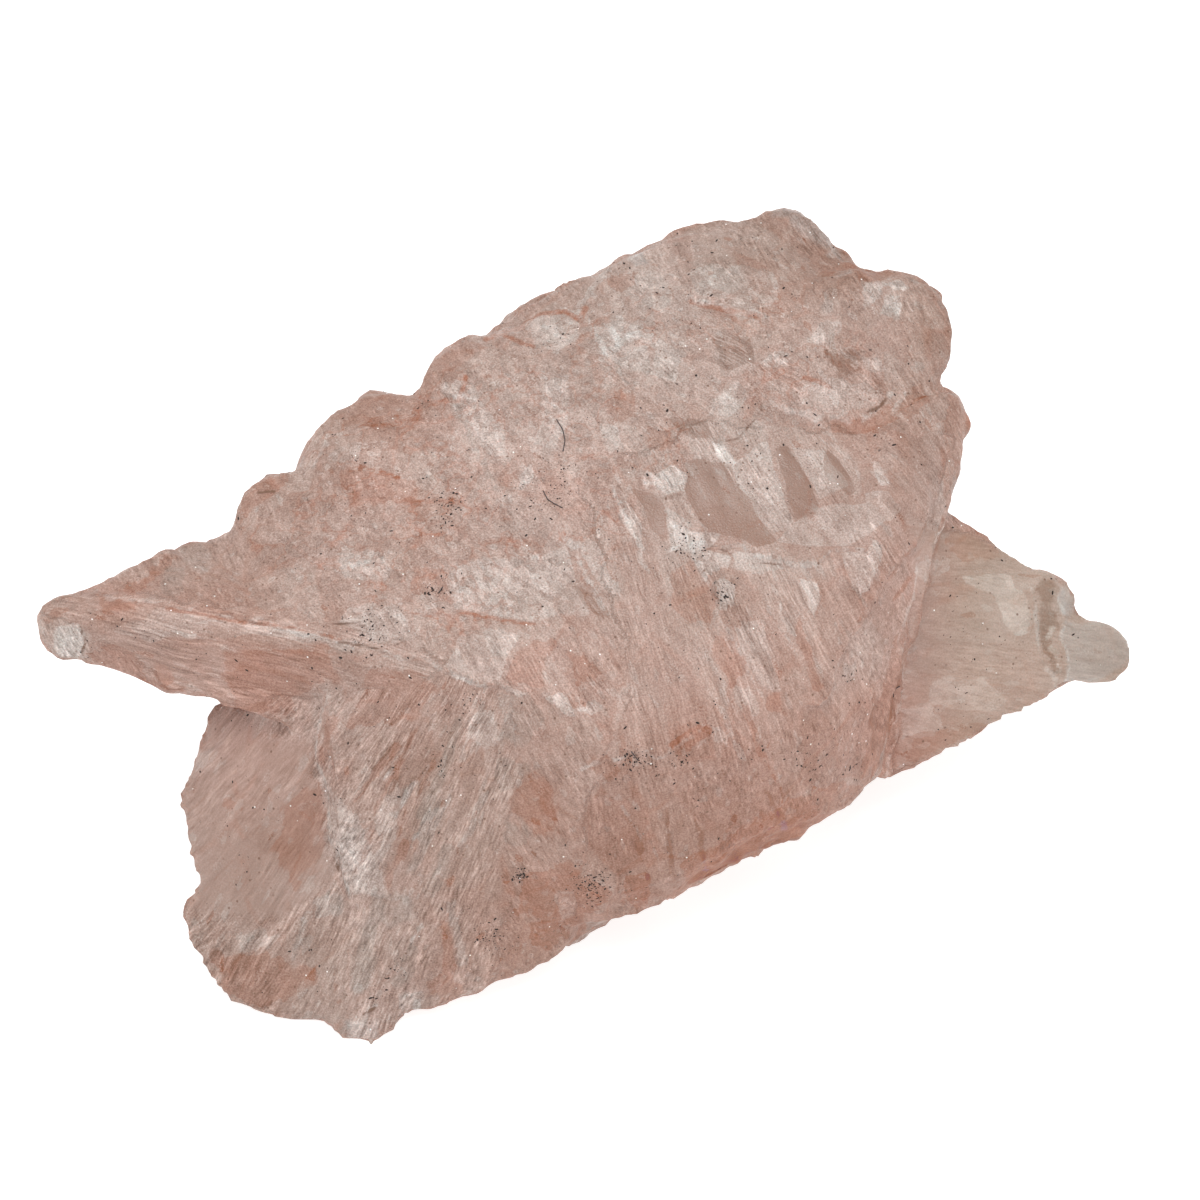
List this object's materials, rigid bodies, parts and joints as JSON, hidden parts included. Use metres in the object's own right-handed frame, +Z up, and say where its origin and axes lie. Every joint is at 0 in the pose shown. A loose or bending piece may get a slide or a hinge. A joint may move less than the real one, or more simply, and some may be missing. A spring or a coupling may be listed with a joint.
{
  "type": "morganite specimen",
  "caption": "Rough hand specimen of morganite: one intergrown mass of pale pink bladed crystal with a pointed horn, a thin clear wing and one flat broken face to lie on.",
  "frame": {"origin": "on the flat broken face that the specimen lies on, under the middle of its body", "axes": "+Z up off the face that it lies on, +X along its length from the horn to the wing, -Y to the front"},
  "size_m": [0.0508, 0.0371, 0.0178],
  "materials": {
    "crystal": "natural rough crystal, cloudy and translucent, pale pink to beige, waxy with frosted and fibrous patches, nearly clear at the wing's tip"
  },
  "bodies": {
    "root": {"morganite": "crystal"}
  },
  "joints": []
}
